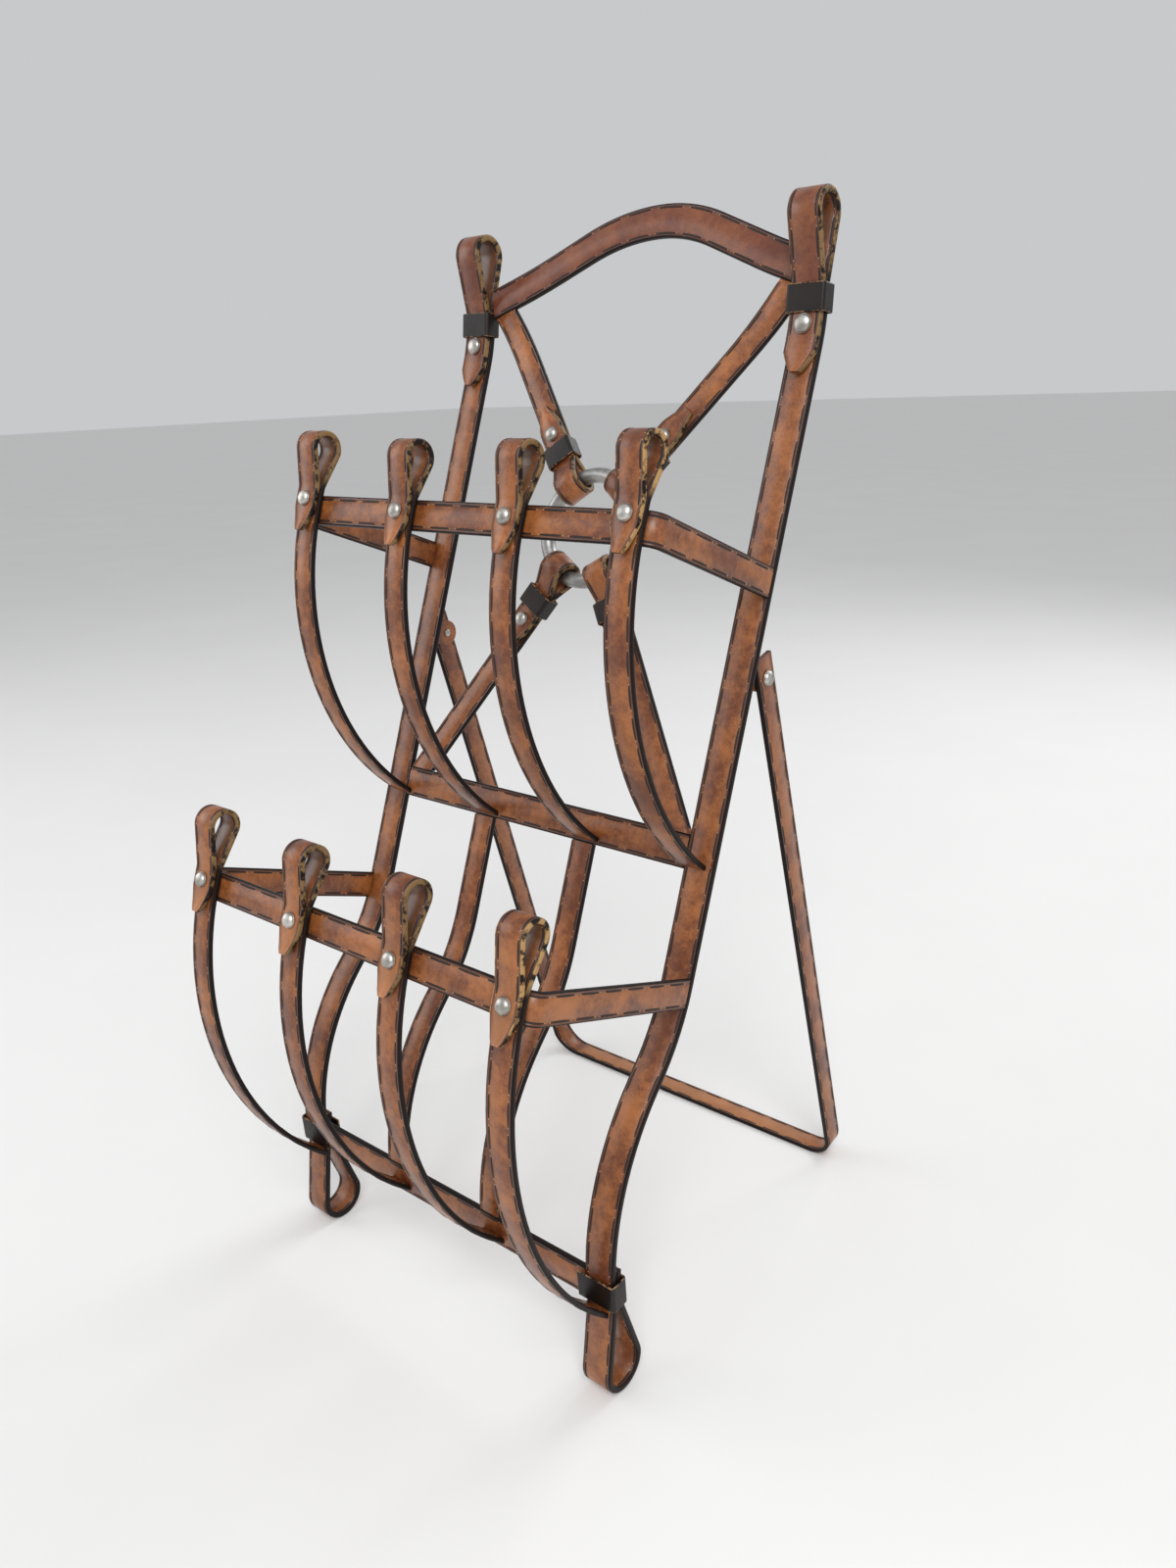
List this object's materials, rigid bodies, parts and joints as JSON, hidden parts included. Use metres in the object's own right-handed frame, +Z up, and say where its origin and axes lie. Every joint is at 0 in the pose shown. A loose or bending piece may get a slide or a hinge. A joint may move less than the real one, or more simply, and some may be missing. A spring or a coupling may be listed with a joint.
{
  "type": "magazine rack",
  "caption": "Free-standing magazine rack of stitched brown leather over flat steel bar, with two slatted baskets, a ring held by four straps and a folding rear leg.",
  "frame": {"origin": "on the floor, under the middle of the rack's bounding box", "axes": "+Z up, the baskets face -Y, +X to the viewer's right when facing the baskets"},
  "size_m": [0.3466, 0.4411, 0.8253],
  "materials": {
    "leather": "semi-gloss waxed, stitched, dark edges",
    "keeper_leather": "smooth black, semi-gloss",
    "rivet_metal": "worn nickel, satin",
    "ring_steel": "satin",
    "core_iron": "dull black"
  },
  "bodies": {
    "frame": {"left_upright": "leather", "right_upright": "leather", "top_arch": "leather", "mid_crossbar": "leather", "bottom_crossbar": "leather", "left_back_slat": "leather", "right_back_slat": "leather", "upper_front_rail": "leather", "upper_rib_1": "leather", "upper_rib_1_rivet": "rivet_metal", "upper_rib_2": "leather", "upper_rib_2_rivet": "rivet_metal", "upper_rib_3": "leather", "upper_rib_3_rivet": "rivet_metal", "upper_rib_4": "leather", "upper_rib_4_rivet": "rivet_metal", "lower_front_rail": "leather", "lower_rib_1": "leather", "lower_rib_1_rivet": "rivet_metal", "lower_rib_2": "leather", "lower_rib_2_rivet": "rivet_metal", "lower_rib_3": "leather", "lower_rib_3_rivet": "rivet_metal", "lower_rib_4": "leather", "lower_rib_4_rivet": "rivet_metal", "upper_left_ring_strap": "leather", "upper_left_strap_keeper": "keeper_leather", "upper_left_strap_rivet": "rivet_metal", "upper_right_ring_strap": "leather", "upper_right_strap_keeper": "keeper_leather", "upper_right_strap_rivet": "rivet_metal", "lower_left_ring_strap": "leather", "lower_left_strap_keeper": "keeper_leather", "lower_left_strap_rivet": "rivet_metal", "lower_right_ring_strap": "leather", "lower_right_strap_keeper": "keeper_leather", "lower_right_strap_rivet": "rivet_metal", "left_top_rivet": "rivet_metal", "left_top_keeper": "keeper_leather", "left_foot_keeper": "keeper_leather", "left_hinge_tab": "leather", "left_hinge_pin": "rivet_metal", "right_top_rivet": "rivet_metal", "right_top_keeper": "keeper_leather", "right_foot_keeper": "keeper_leather", "right_hinge_tab": "leather", "right_hinge_pin": "rivet_metal", "frame_core": "core_iron"},
    "leg": {"rear_leg": "leather", "leg_core": "core_iron"},
    "ring": {"ring": "ring_steel"}
  },
  "joints": [
    {"name": "rear_leg_hinge", "type": "hinge", "parent": "frame", "child": "leg", "pos_m": [0, 0.0695, 0.494], "axis": [1, 0, 0], "range_deg": [-34, 0]},
    {"name": "ring_spin", "type": "hinge", "parent": "frame", "child": "ring", "pos_m": [0, 0.081, 0.5912], "axis": [0, -0.9311, 0.3649], "continuous": true}
  ]
}
